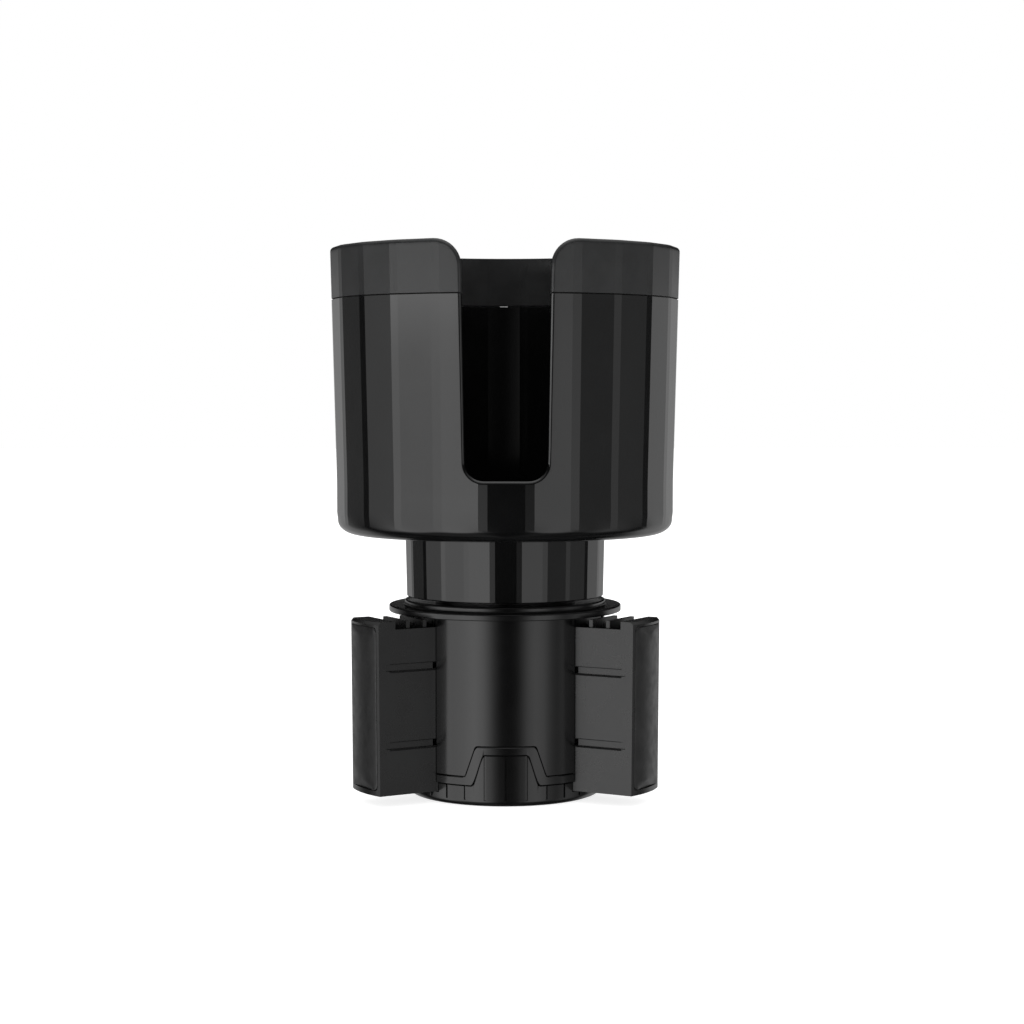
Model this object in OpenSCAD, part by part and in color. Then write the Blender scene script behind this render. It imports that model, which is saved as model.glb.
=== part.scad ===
// Expanding cup holder adapter for a vehicle: a wide bottle cup on a faceted neck,
// and a base whose three wings are driven outward by a flat scroll, as in a lathe chuck.
// Millimetres, +Z up. The origin is on the turning axis at the underside of the foot,
// and the front slot of the cup faces -Y. The wings are drawn fully extended.

/* [Cup] */
// Height of the cup with its rim ring
cup_h = 85.5; // [80:0.5:95]
// Radius of the bottle space
bottle_r = 48.6; // [46:0.1:50]
// Wall at the underside of the cup, out to the edges between the flats
cup_wall = 1.45; // [1.4:0.05:2.5]
// Wall at the rim, out to the edges between the flats
rim_wall = 3.6; // [3.4:0.1:4.5]
// Thickness of the cup floor
cup_floor = 3.1; // [2.5:0.1:5]
// Height of the rim ring above its seam
rim_h = 15.4; // [12:0.2:20]
// Number of flats round the cup and neck
flat_count = 24; // [16:4:32]

/* [Slot] */
// Half width of the front slot at its bottom
slot_low_w = 12.5; // [10:0.1:15]
// Half width of the front slot below the rim
slot_high_w = 13.6; // [11:0.1:16]
// Depth of the slot below the rim
slot_depth = 68.2; // [40:0.5:72]
// Radius of the slot's corners
slot_corner_r = 6.2; // [4:0.1:8]

/* [Neck] */
// Height of the neck
neck_h = 18.3; // [14:0.1:30]
// Distance that the neck's lower end stands inside the base's outside
neck_inset = 0.4; // [0.2:0.1:1.5]
// Widening of the neck up to the cup
neck_flare = 0.4; // [0:0.1:1]
// Wall of the hollow neck
neck_wall = 3; // [2:0.1:4]

/* [Base] */
// Radius of the base housing
base_r = 30; // [29.5:0.1:32]
// Height of the base housing's top edge
base_h = 54.5; // [50:0.5:60]
// Wall of the base housing
base_wall = 2.2; // [1.8:0.1:2.6]
// Overhang of the collar's flange
flange_w = 4.9; // [3:0.1:8]
// Width of the collar from its bearing bore to the base's outside
bearing_w = 9; // [8.5:0.1:10]

/* [Wings] */
// Half width of a wing
wing_w = 8.8; // [8:0.1:10]
// Distance that a retracted wing's front corners stand out of the base
wing_proud = 0.9; // [0.5:0.1:2]
// Radius of a wing's curved front
wing_arc_r = 31; // [30:0.5:40]
// Draft of a wing's curved front, down to its lower edge
front_draft = 0.4; // [0:0.05:0.5]
// Height of the underside of a wing
wing_z = 3.5; // [3.4:0.1:5]
// Wall of a hollow wing
wing_wall = 1.2; // [1:0.1:1.6]
// Play between a wing's side and its guide
wing_play = 0.3; // [0.2:0.05:0.4]
// Depth of the seat of a wing's pad
pad_depth = 1.2; // [0.8:0.1:2]

/* [Scroll] */
// Pitch of the scroll and of the teeth on the wings
pitch = 5.5; // [5.2:0.05:5.6]
// Turns of the cup from fully extended to fully retracted
turns = 3; // [1:0.5:3]
// Thickness of the scroll's ridge
ridge_t = 1.2; // [1:0.1:1.3]
// Thickness of a tooth
tooth_t = 1.2; // [1:0.1:1.3]

/* [Hidden] */
$fn = 96;
eps = 0.01;

// Directions of the wings, and of the closed walls between them, round the axis
left_az = 210;
right_az = 330;
rear_az = 90;
wing_azs = [left_az, right_az, rear_az];
wall_azs = [270, 30, 150];

// Flats and the narrow strips between them
flat_step = 360 / flat_count;
flat_half = 6 / 15 * flat_step;

// Heights in the base, upward from the wings
wing_drop = 0.4;
ledge_drop = 2.3;
slide_gap = 0.2;
ridge_lift = 0.35;
plate_lift = 0.3;
plate_play = 0.1;
deck_t = 2;
plate_t = 2;
flange_t = 2;
flange_lift = 0.25;
collar_ring_h = 1.55;
wing_top_z = base_h - wing_drop;
ledge_z = wing_top_z - ledge_drop;
deck_z = ledge_z - slide_gap;
ridge_z = deck_z + ridge_lift;
plate_z = wing_top_z + plate_lift;
recess_z = plate_z + plate_t + plate_play;
flange_z = base_h + flange_lift;
flange_top_z = flange_z + flange_t;
collar_top_z = flange_top_z + collar_ring_h;

// Heights of the neck and cup, which stand on the scroll plate's hub
neck_gap = 1;
neck_z = collar_top_z + neck_gap;
neck_floor = 2.2;
neck_inner_z = neck_z + neck_floor;
cup_z = neck_z + neck_h;
floor_z = cup_z + cup_floor;
holder_h = cup_z + cup_h;
seam_z = holder_h - rim_h;
slot_z = holder_h - slot_depth;

// Cup: corner at its foot, round at its rim, and the tongue that the rim ring snaps over
cup_bottom_r = bottle_r + cup_wall;
cup_top_r = bottle_r + rim_wall;
cup_corner = [6.9, 5.5];
rim_round = 0.9;
seam_gap = 0.05;
seam_rebate = [0.35, 0.3];
tongue_r = [bottle_r + 0.9, bottle_r + 2];
tongue_z = [seam_z - 2, seam_z + 2.5];
tongue_play = 0.1;
catch_w = 2.7;
catch_h = 0.7;
catch_z = seam_z - 0.3;
mat_t = 1.6;
mat_play = 0.4;
mat_seat_r = bottle_r - 0.6;
bore_z = floor_z + mat_t + 0.1;
mat_groove = [1.5, 0.6];

// Round parts of the base
plate_inset = 2.5;
lip_inset = 0.9;
plate_r = base_r - plate_inset;
housing_lip_r = base_r - lip_inset;
flange_r = base_r + flange_w;
neck_bottom_r = base_r - neck_inset;
neck_top_r = neck_bottom_r + neck_flare;
bearing_r = base_r - bearing_w;
flange_edge = 0.95;
collar_ring_r = neck_bottom_r + 0.6;
bearing_play = 0.08;
hub_r = bearing_r - bearing_play;
drag_groove = [1.4, 4.6];
drag_groove_r = [bearing_r + drag_groove[0], bearing_r + drag_groove[1]];
drag_groove_h = 0.9;
drag_play = 0.1;
drag_lift = 0.06;
neck_bore_r = neck_bottom_r - neck_wall;
centre_r = 11.5;

// Scroll: radius gained in each degree, and its reach
travel = pitch * turns;
rise = pitch / 360;
scroll_inset = 3.2;
scroll_margin = 1.2;
ridge_gap = 0.9;
scroll_in_r = bearing_r - scroll_inset;
scroll_out_r = plate_r - scroll_margin;
land_r = scroll_in_r - ridge_gap;
// Distance of the ridge outside a tooth, set so that curved ridge and straight tooth clear
tooth_lag = pitch / 2 + ridge_gap;

// Wing sections
wing_corner_x = base_r + travel + wing_proud;
wing_floor = 2.5;
guide_w = wing_w + wing_play;
guide_t = 1.6;
tip_x = travel + 1.6;
meeting_gap = 0.35;
arc_x = wing_corner_x - sqrt(wing_arc_r * wing_arc_r - wing_w * wing_w);
left_tooth_x = wing_corner_x - 10.4;
block_gap = 4.7;
tooth_drop = 0.05;
front_bevel = 0.8;
groove_depth = 0.5;
groove_h = 1.95;
groove_out_x = wing_corner_x - 2.5;
low_groove_z = wing_z + 13.5;
window_x = base_r - 2.4;
window_w = 1.8;
tab_x = [base_r - 4.8, base_r - 2.8];
tab_play = 0.25;
pad_frame = 1;
pad_play = 0.12;
pad_proud = 0.15;
pad_z = [wing_z + 1.5, wing_top_z - 1.5];
pad_corner = 1.4;

// Foot: heights and half widths of the raised tongue between two wings, as
// [valley height, tongue height, half width below, half width above]
upper_line = [8.95, 17.9, 11.9, 8.9];
lower_line = [6.25, 15.3, 9.6, 6.8];
seam_line = 0.3;
undercut = 0.6;
foot_floor = 1.5;
housing_floor = [1.6, 3.2];
foot_r = base_r - 0.75;
foot_bottom_r = base_r - 2.6;
foot_round = foot_r - foot_bottom_r;
spigot_r = [base_r - 4.7, base_r - base_wall - 0.15];
spigot_play = 0.2;
spigot_z = upper_line[1] + 3.1;
flute_count = 30;
flute = [0.4, 0.6];

// Screws: radii of shank, hole and boss, and where they stand
screw_r = 1.2;
pilot_r = screw_r + 0.05;
hole_r = screw_r + 0.5;
boss_r = 3.4;
head_play = 0.4;
cup_screw_az = 45;
cup_screw_inset = 5.6;
cup_screw_r = neck_bore_r - cup_screw_inset;
cup_screw_l = 11;
cup_head = [2.9, 1.6];
wall_screw_az = 30;
spindle_head = [2.8, 1.8];
spindle_screw_gap = 0.2;
hub_wall = 2.4;
// The spindle's screw heads keep clear of the bosses beside them
spindle_screw_r = clear_r(cup_screw_r, cup_screw_az - wall_screw_az,
                          boss_r + spindle_head[0] + spindle_screw_gap);
hub_bore_r = spindle_screw_r - hub_wall;
spindle_screw_l = neck_inner_z - plate_z - 1;
foot_screw_inset = 11;
foot_screw_r = base_r - foot_screw_inset;
foot_screw_l = 10;
foot_screw_seat = 1.9;
foot_head = [2.4, foot_screw_seat - 0.2];

function polar(r, a) = [r * cos(a), r * sin(a)];
function arc_points(c, r, a0, a1, n) = [for (i = [0:n]) c + polar(r, a0 + (a1 - a0) * i / n)];
// Radius, inside r, of a point turned by an angle from one at r and standing at distance d from it
function clear_r(r, turn, d) = r * cos(turn) - sqrt(max(0, d * d - pow(r * sin(turn), 2)));
// Replaces each corner of an outline by a short curve that starts at distance d from it
function softened(pts, d, n = 4) = [
    for (i = [0:len(pts) - 1], j = [0:n])
        let (p = pts[i], a = pts[(i + len(pts) - 1) % len(pts)], b = pts[(i + 1) % len(pts)],
             t = j / n, pa = p + (a - p) * d / norm(a - p), pb = p + (b - p) * d / norm(b - p))
        (1 - t) * (1 - t) * pa + 2 * t * (1 - t) * p + t * t * pb];

// Radius of the ridge at an azimuth that keeps counting past a full turn
function scroll_r_at(az) = left_tooth_x + tooth_lag - 4 * pitch + rise * (az - left_az);
function scroll_az_at(r) = left_az + (r - scroll_r_at(left_az)) / rise;

// Tooth nearest the front block of the wing at azimuth az, and the face of that block
function first_tooth_x(az) = left_tooth_x + rise * (az - left_az);
function step_x(az) = first_tooth_x(az) + block_gap;
// The three wings carry their upper groove at three heights, so that none fits a wrong place
function upper_groove_z(az) = wing_top_z - (az == left_az ? 14.4 : az == right_az ? 15.9 : 17.4);

// Solid with flats: wide flats and narrow strips in turn, tapered from r0 to r1
module faceted(r0, r1, z0, z1) {
    translate([0, 0, z0])
        linear_extrude(height = z1 - z0, scale = r1 / r0)
            polygon([for (i = [0:flat_count - 1], s = [-1, 1])
                polar(r0, -90 + i * flat_step + s * flat_half)]);
}

function cup_r_at(z) = cup_bottom_r + (cup_top_r - cup_bottom_r) * (z - cup_z) / cup_h;

// Turned outside of cup and rim: elliptical lower corner, small round at the rim
module cup_turning() {
    rotate_extrude()
        polygon(concat(
            [[0, cup_z]],
            [for (i = [0:8]) [cup_bottom_r + 0.15 - cup_corner[0] * (1 - sin(i * 90 / 8)),
                              cup_z + cup_corner[1] * (1 - cos(i * 90 / 8))]],
            [[cup_top_r + 1, cup_z + cup_h / 3], [cup_top_r + 1, holder_h - 3 * rim_round]],
            arc_points([cup_top_r - rim_round, holder_h - rim_round], rim_round, 0, 90, 4),
            [[0, holder_h]]));
}

module slot_cut() {
    r = slot_corner_r;
    side = concat(
        arc_points([slot_low_w - r, slot_z + r], r, -90, 0, 8),
        arc_points([slot_high_w + r, holder_h - r], r, 180, 90, 8),
        [[slot_high_w + r, holder_h + r]]);
    mirrored = [for (i = [len(side) - 1:-1:0]) [-side[i][0], side[i][1]]];
    translate([0, -bottle_r * 0.6, 0])
        rotate([90, 0, 0])
            linear_extrude(height = bottle_r)
                polygon(concat(side, mirrored));
}

// Small window through the seam at the back, where the ring's catch shows
module catch_window() {
    translate([-catch_w / 2, bottle_r - 5, catch_z])
        cube([catch_w, rim_wall + 10, catch_h]);
}

module ring_of(count, r, a0 = 0) {
    for (i = [0:count - 1])
        rotate([0, 0, a0 + i * 360 / count])
            translate([r, 0, 0])
                children();
}

module tube(r_out, r_in, z0, z1) {
    translate([0, 0, z0])
        difference() {
            cylinder(r = r_out, h = z1 - z0);
            translate([0, 0, -1])
                cylinder(r = r_in, h = z1 - z0 + 2);
        }
}

module cup_body() {
    color([0.07, 0.07, 0.075])
        difference() {
            union() {
                intersection() {
                    faceted(cup_bottom_r, cup_r_at(seam_z), cup_z, seam_z - seam_gap);
                    cup_turning();
                }
                tube(tongue_r[1], tongue_r[0], tongue_z[0], tongue_z[1]);
            }
            translate([0, 0, bore_z])
                cylinder(r = bottle_r, h = cup_h);
            translate([0, 0, floor_z])
                cylinder(r = mat_seat_r, h = cup_h);
            slot_cut();
            catch_window();
            ring_of(4, cup_screw_r, cup_screw_az) {
                translate([0, 0, cup_z - 1])
                    cylinder(r = hole_r, h = cup_floor + 2);
                translate([0, 0, floor_z - cup_head[1] - 0.2])
                    cylinder(r = cup_head[0] + head_play, h = cup_floor);
            }
        }
}

module rim_ring() {
    low_r = cup_r_at(seam_z) - seam_rebate[0];
    groove_top = tongue_z[1] + 2 * tongue_play;
    color([0.09, 0.09, 0.095])
        difference() {
            intersection() {
                union() {
                    faceted(low_r, low_r, seam_z, seam_z + seam_rebate[1]);
                    faceted(cup_r_at(seam_z), cup_top_r, seam_z + seam_rebate[1], holder_h);
                }
                cup_turning();
            }
            translate([0, 0, seam_z - 1])
                cylinder(r = bottle_r, h = rim_h + 2);
            tube(tongue_r[1] + tongue_play, tongue_r[0] - tongue_play, tongue_z[0], groove_top);
            slot_cut();
            catch_window();
        }
}

module cup_mat() {
    color([0.05, 0.05, 0.05])
        translate([0, 0, floor_z])
            difference() {
                cylinder(r = mat_seat_r - mat_play, h = mat_t);
                for (i = [1:4])
                    tube(mat_seat_r * (i + 0.25) / 5.25 + mat_groove[0], mat_seat_r * (i + 0.25) / 5.25,
                         mat_t - mat_groove[1], mat_t + 1);
            }
}

module neck() {
    rib = [2, 1.6];
    color([0.07, 0.07, 0.075])
        difference() {
            union() {
                difference() {
                    faceted(neck_bottom_r, neck_top_r, neck_z, cup_z);
                    translate([0, 0, neck_inner_z])
                        cylinder(r = neck_bore_r, h = neck_h);
                }
                ring_of(4, cup_screw_r, cup_screw_az)
                    translate([0, 0, neck_z + 1])
                        cylinder(r = boss_r, h = neck_h - 1);
                // Ribs that carry the bosses
                ring_of(4, cup_screw_r, cup_screw_az)
                    translate([rib[0], -rib[1] / 2, neck_z + 1])
                        cube([neck_bore_r + 1 - cup_screw_r - rib[0], rib[1], neck_h - 2]);
            }
            ring_of(4, cup_screw_r, cup_screw_az)
                translate([0, 0, cup_z - cup_screw_l])
                    cylinder(r = pilot_r, h = cup_screw_l + 1);
            ring_of(3, spindle_screw_r, wall_screw_az)
                translate([0, 0, neck_z - 1])
                    cylinder(r = hole_r, h = neck_floor + 2);
        }
}

// Screw with a cross recess; head = [radius, height], its seat at z = 0
module pan_screw(head, length) {
    cross = [0.55 * head[0], 0.6, 0.9];
    difference() {
        union() {
            translate([0, 0, -length])
                cylinder(r = screw_r, h = length + eps);
            cylinder(r1 = head[0], r2 = head[0] * 0.8, h = head[1]);
        }
        for (a = [0, 90])
            rotate([0, 0, a])
                translate([-cross[0], -cross[1] / 2, head[1] - cross[2]])
                    cube([2 * cross[0], cross[1], 2 * cross[2]]);
    }
}

module cup_screws() {
    color([0.6, 0.6, 0.62])
        ring_of(4, cup_screw_r, cup_screw_az)
            translate([0, 0, floor_z - cup_head[1] - 0.2])
                pan_screw(cup_head, cup_screw_l);
}

module spindle_screws() {
    color([0.6, 0.6, 0.62])
        ring_of(3, spindle_screw_r, wall_screw_az)
            translate([0, 0, neck_inner_z])
                pan_screw(spindle_head, spindle_screw_l);
}

module foot_screws() {
    color([0.6, 0.6, 0.62])
        ring_of(3, foot_screw_r, wall_screw_az)
            translate([0, 0, foot_screw_seat])
                rotate([180, 0, 0])
                    pan_screw(foot_head, foot_screw_l);
}

// Disc that turns with the cup. The spiral ridge below it runs between the wings' teeth.
module scroll_plate() {
    a0 = scroll_az_at(scroll_in_r);
    a1 = scroll_az_at(scroll_out_r);
    steps = 56;
    az = [for (i = [0:steps]) a0 + (a1 - a0) * i / steps];
    color([0.12, 0.12, 0.13])
        difference() {
            union() {
                translate([0, 0, plate_z])
                    cylinder(r = plate_r, h = plate_t);
                translate([0, 0, plate_z])
                    cylinder(r = hub_r, h = neck_z - plate_z);
                translate([0, 0, ridge_z])
                    linear_extrude(height = plate_z - ridge_z + 0.5)
                        polygon(concat(
                            [for (a = az) polar(scroll_r_at(a) + ridge_t / 2, a)],
                            [for (i = [steps:-1:0]) polar(scroll_r_at(az[i]) - ridge_t / 2, az[i])]));
            }
            translate([0, 0, plate_z + plate_t])
                cylinder(r = hub_bore_r, h = neck_z - plate_z);
            ring_of(3, spindle_screw_r, wall_screw_az)
                translate([0, 0, plate_z + 0.8])
                    cylinder(r = pilot_r, h = neck_z - plate_z);
        }
}

module top_collar() {
    ring_round = 0.5;
    lead_in = 0.3;
    groove_top = recess_z + drag_groove_h;
    color([0.09, 0.09, 0.095])
        rotate_extrude()
            polygon(concat(
                [[bearing_r, recess_z], [drag_groove_r[0], recess_z], [drag_groove_r[0], groove_top],
                 [drag_groove_r[1], groove_top], [drag_groove_r[1], recess_z],
                 [plate_r + 0.25, recess_z], [plate_r + 0.25, base_h], [housing_lip_r, base_h],
                 [housing_lip_r, flange_z]],
                arc_points([flange_r - flange_edge, flange_z + flange_edge], flange_edge, -90, 90, 8),
                [[collar_ring_r, flange_top_z]],
                arc_points([collar_ring_r - ring_round, collar_top_z - ring_round], ring_round, 0, 90, 4),
                [[bearing_r + lead_in, collar_top_z], [bearing_r, collar_top_z - lead_in]]));
}

// Soft ring that gives the turning cup its drag, so that the wings stay put
module drag_ring() {
    color([0.2, 0.2, 0.2])
        tube(drag_groove_r[1] - drag_play, drag_groove_r[0] + drag_play,
             recess_z - drag_lift, recess_z + drag_groove_h - 0.02);
}

// Foot line moved in by a width: down, and at its sloping sides toward the tongue's middle
function moved_in(line, w) = line - w * [1, 1, 0.72, 0.72];

// Space below a foot line, its corners softened
module below_line(line) {
    sunk = 3;
    cylinder(r = flange_r, h = line[0]);
    for (az = wall_azs)
        rotate([0, 0, az + 90])
            rotate([90, 0, 0])
                linear_extrude(height = flange_r)
                    polygon(softened([[-line[2], line[0] - sunk], [-line[2] - sunk, line[0] - sunk],
                                      [-line[2], line[0]], [-line[3], line[1]], [line[3], line[1]],
                                      [line[2], line[0]], [line[2] + sunk, line[0] - sunk]], 0.9));
}

module wing_spaces(w, z0, z1) {
    for (az = wing_azs)
        rotate([0, 0, az])
            translate([0, -w, z0])
                cube([wing_corner_x, 2 * w, z1 - z0]);
}

module base_housing() {
    color([0.08, 0.08, 0.085])
        difference() {
            union() {
                difference() {
                    union() {
                        difference() {
                            tube(base_r, base_r - base_wall, 0, base_h);
                            below_line(upper_line);
                        }
                        // Walls beside each wing: inside the foot's spigot below, out to the shell above
                        intersection() {
                            union() {
                                translate([0, 0, housing_floor[0]])
                                    cylinder(r = spigot_r[0] - spigot_play, h = spigot_z);
                                translate([0, 0, spigot_z + 0.5])
                                    cylinder(r = base_r - base_wall / 2, h = deck_z - spigot_z);
                            }
                            wing_guides(housing_floor[0]);
                        }
                        // Deck under the scroll, and lands that carry the plate
                        translate([0, 0, deck_z - deck_t])
                            cylinder(r = base_r - base_wall / 2, h = deck_t);
                        tube(land_r, centre_r + 0.5, deck_z - deck_t / 2, plate_z - 0.1);
                        ring_of(3, foot_screw_r, wall_screw_az)
                            translate([0, 0, housing_floor[0]])
                                cylinder(r = boss_r, h = base_h / 2);
                    }
                    wing_spaces(guide_w, -1, base_h + 1);
                    translate([0, 0, -1])
                        cylinder(r = centre_r, h = base_h + 2);
                }
                // Floor that joins the three walls under the wings
                translate([0, 0, housing_floor[0]])
                    cylinder(r = spigot_r[0] - spigot_play, h = housing_floor[1] - housing_floor[0]);
                guide_tabs();
            }
            ring_of(3, foot_screw_r, wall_screw_az)
                cylinder(r = pilot_r, h = 2 * foot_screw_l);
            // Relief for the heads' seats moulded in the foot cap
            ring_of(3, foot_screw_r, wall_screw_az)
                cylinder(r = foot_head[0] + 0.8, h = foot_screw_seat + 0.7);
        }
}

module wing_guides(z0) {
    for (az = wing_azs, s = [-1, 1])
        rotate([0, 0, az])
            translate([0, s > 0 ? guide_w - eps : -guide_w - guide_t + eps, z0])
                cube([base_r, guide_t, deck_z - z0]);
}

// Tabs that ride in the side grooves of the wings and hold them at their height
module guide_tabs() {
    for (az = wing_azs, s = [-1, 1], z = [low_groove_z, upper_groove_z(az)])
        rotate([0, 0, az])
            translate([tab_x[0], s > 0 ? wing_w - tab_play : -guide_w - 0.5, z + tab_play])
                cube([tab_x[1] - tab_x[0], wing_play + tab_play + 0.5, groove_h - 2 * tab_play]);
}

module foot_cap() {
    rim_z = housing_floor[1];
    color([0.08, 0.08, 0.085])
        difference() {
            union() {
                rotate_extrude()
                    polygon(concat(
                        [[0, 0]],
                        arc_points([foot_bottom_r, foot_round], foot_round, -90, 0, 6),
                        [[foot_r, rim_z], [spigot_r[0], rim_z], [spigot_r[0], foot_floor], [0, foot_floor]]));
                intersection() {
                    tube(foot_r, spigot_r[0], rim_z - 1, spigot_z);
                    below_line(moved_in(upper_line, seam_line));
                }
                intersection() {
                    tube(base_r, spigot_r[1] - 1, rim_z - 1, spigot_z);
                    difference() {
                        below_line(moved_in(upper_line, seam_line));
                        below_line(lower_line);
                    }
                }
                tube(spigot_r[1], spigot_r[0], rim_z - 1, spigot_z);
                // Seats for the screw heads, sunk from below
                ring_of(3, foot_screw_r, wall_screw_az)
                    cylinder(r = foot_head[0] + 0.6, h = foot_screw_seat + 0.6);
            }
            wing_spaces(guide_w, rim_z, spigot_z + 1);
            foot_flutes();
            // Undercut of the band above the flutes
            intersection() {
                tube(base_r, foot_r - undercut, rim_z, spigot_z);
                difference() {
                    below_line(lower_line);
                    below_line(moved_in(lower_line, seam_line));
                }
            }
            ring_of(3, foot_screw_r, wall_screw_az) {
                cylinder(r = hole_r, h = foot_screw_l);
                translate([0, 0, -1])
                    cylinder(r = foot_head[0] + 0.2, h = 1 + foot_screw_seat);
            }
        }
}

// Upright grooves moulded round the set-back part of the foot
module foot_flutes() {
    intersection() {
        below_line(lower_line);
        ring_of(flute_count, foot_r, 6)
            translate([-flute[0], -flute[1] / 2, foot_round])
                cube([2 * flute[0], flute[1], spigot_z]);
    }
}

// Plan of a wing, along +X. inset moves its sides in, for the space between the walls.
module wing_plan(inset) {
    w = wing_w - inset;
    gap = meeting_gap + inset / sin(60);
    x0 = tip_x + inset;
    tip_w = (x0 - travel - gap) * tan(60);
    full_x = travel + gap + w / tan(60);
    end_x = arc_x + wing_arc_r + 1;
    polygon([[x0, -tip_w], [full_x, -w], [end_x, -w], [end_x, w], [full_x, w], [x0, tip_w]]);
}

// How far a straight line across a wing leans with the scroll between the wing's middle and side
function lean_at(x) = rise * asin(wing_w / x);

// Band from x0 to x1 that leans with the scroll, twice as wide as a wing
module leaning_band(x0, x1, lean, z1) {
    linear_extrude(height = z1)
        polygon([[x0 - 2 * lean, -2 * wing_w], [x1 - 2 * lean, -2 * wing_w],
                 [x1 + 2 * lean, 2 * wing_w], [x0 + 2 * lean, 2 * wing_w]]);
}

// Upright curved face of the front, which leans in towards its lower edge
module wing_front(proud) {
    translate([arc_x, 0, wing_z])
        cylinder(r1 = wing_arc_r - front_draft + proud, r2 = wing_arc_r + proud, h = wing_top_z - wing_z);
}

module pad_outline(gap) {
    w = wing_w - pad_frame - gap;
    z0 = pad_z[0] + gap;
    z1 = pad_z[1] - gap;
    rotate([90, 0, 90])
        linear_extrude(height = 2 * wing_corner_x)
            polygon(softened([[-w, z0], [w, z0], [w, z1], [-w, z1]], pad_corner));
}

module wing(az) {
    step = step_x(az);
    first = first_tooth_x(az);
    teeth = floor((first - tip_x - 0.3) / pitch);
    color([0.08, 0.08, 0.085])
        rotate([0, 0, az])
            difference() {
                union() {
                    difference() {
                        intersection() {
                            translate([0, 0, wing_z])
                                linear_extrude(height = wing_top_z - wing_z)
                                    wing_plan(0);
                            wing_front(0);
                        }
                        translate([0, 0, ledge_z])
                            leaning_band(-step, step, lean_at(step), base_h);
                        intersection() {
                            translate([0, 0, wing_z + wing_floor])
                                linear_extrude(height = base_h)
                                    wing_plan(wing_wall);
                            leaning_band(-step, step, lean_at(step), base_h);
                        }
                    }
                    // Teeth: slanted walls across the wing, at the pitch of the scroll
                    intersection() {
                        translate([0, 0, wing_z + 1])
                            linear_extrude(height = wing_top_z - tooth_drop - wing_z - 1)
                                wing_plan(wing_wall - 0.05);
                        for (i = [0:teeth])
                            translate([first - i * pitch, 0, 0])
                                leaning_band(-tooth_t / 2, tooth_t / 2, lean_at(first), base_h);
                    }
                }
                // Seat of the rubber pad
                intersection() {
                    difference() {
                        translate([arc_x, 0, 0])
                            cylinder(r = wing_arc_r + 2, h = base_h);
                        translate([arc_x, 0, -1])
                            cylinder(r = wing_arc_r - pad_depth, h = base_h + 2);
                    }
                    pad_outline(0);
                }
                // Side grooves, each with a window through the wall
                for (s = [-1, 1], z = [low_groove_z, upper_groove_z(az)]) {
                    translate([0, s > 0 ? wing_w - groove_depth : -wing_w - 1, z])
                        cube([groove_out_x, groove_depth + 1, groove_h]);
                    translate([window_x, s > 0 ? wing_w - wing_wall - 0.8 : -wing_w - 1, z])
                        cube([window_w, wing_wall + 1.8, groove_h]);
                }
                front_chamfer();
            }
}

// Bevel along the upper edge of the curved front
module front_chamfer() {
    c = front_bevel;
    translate([arc_x, 0, wing_top_z])
        rotate_extrude()
            polygon([[wing_arc_r - c, eps], [wing_arc_r + c, eps], [wing_arc_r + c, -2 * c], [wing_arc_r, -c]]);
}

module wing_pad(az) {
    color([0.05, 0.05, 0.05])
        rotate([0, 0, az])
            intersection() {
                difference() {
                    wing_front(pad_proud);
                    translate([arc_x, 0, -1])
                        cylinder(r = wing_arc_r - pad_depth, h = base_h + 2);
                }
                pad_outline(pad_play);
            }
}

module left_wing() { wing(left_az); }
module left_wing_pad() { wing_pad(left_az); }
module right_wing() { wing(right_az); }
module right_wing_pad() { wing_pad(right_az); }
module rear_wing() { wing(rear_az); }
module rear_wing_pad() { wing_pad(rear_az); }

base_housing();
top_collar();
drag_ring();
foot_cap();
foot_screws();
scroll_plate();
neck();
spindle_screws();
cup_body();
cup_screws();
rim_ring();
cup_mat();
left_wing();
left_wing_pad();
right_wing();
right_wing_pad();
rear_wing();
rear_wing_pad();
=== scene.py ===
"""Looks of an expanding cup holder adapter: a faceted black cup and neck that turn on a base
with three sliding wings. Metres, +Z up, the cup's front slot towards -Y.

The cup's and the rim ring's walls and the wings' pads are drawn flat, with their rounded lips, and
wrapped. Neck, collar, mat and screws are grown by Geometry Nodes. The other pieces keep the shape
of their solids."""

import math

import bmesh
import bpy
import numpy as np
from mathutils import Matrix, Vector
from mathutils.geometry import delaunay_2d_cdt
from mathutils.kdtree import KDTree


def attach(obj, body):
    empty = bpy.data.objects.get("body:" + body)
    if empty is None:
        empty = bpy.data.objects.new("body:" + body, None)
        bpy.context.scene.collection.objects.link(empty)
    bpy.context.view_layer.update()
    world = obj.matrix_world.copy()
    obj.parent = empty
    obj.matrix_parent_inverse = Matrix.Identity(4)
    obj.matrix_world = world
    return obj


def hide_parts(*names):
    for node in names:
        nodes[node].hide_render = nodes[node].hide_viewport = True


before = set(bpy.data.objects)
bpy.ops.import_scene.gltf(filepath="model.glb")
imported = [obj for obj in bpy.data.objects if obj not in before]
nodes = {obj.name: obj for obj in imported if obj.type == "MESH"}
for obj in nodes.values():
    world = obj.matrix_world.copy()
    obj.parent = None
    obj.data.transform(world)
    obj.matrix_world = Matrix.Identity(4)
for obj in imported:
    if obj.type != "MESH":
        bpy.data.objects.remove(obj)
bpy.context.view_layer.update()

MM = 0.001

# Sizes of the holder in millimetres, as in the part's source unless a line says otherwise.
# Cup: bottle space, and the wall's outside at its underside and rim, out to the facet lines
BOTTLE_R, CUP_LOW_R, CUP_TOP_R = 48.6, 50.05, 52.2
CUP_Z, FLOOR_Z, BORE_Z, SEAM_Z, TOP_Z = 77.6, 80.7, 82.4, 147.7, 163.1
FLOOR_R = BOTTLE_R - 0.6
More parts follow.
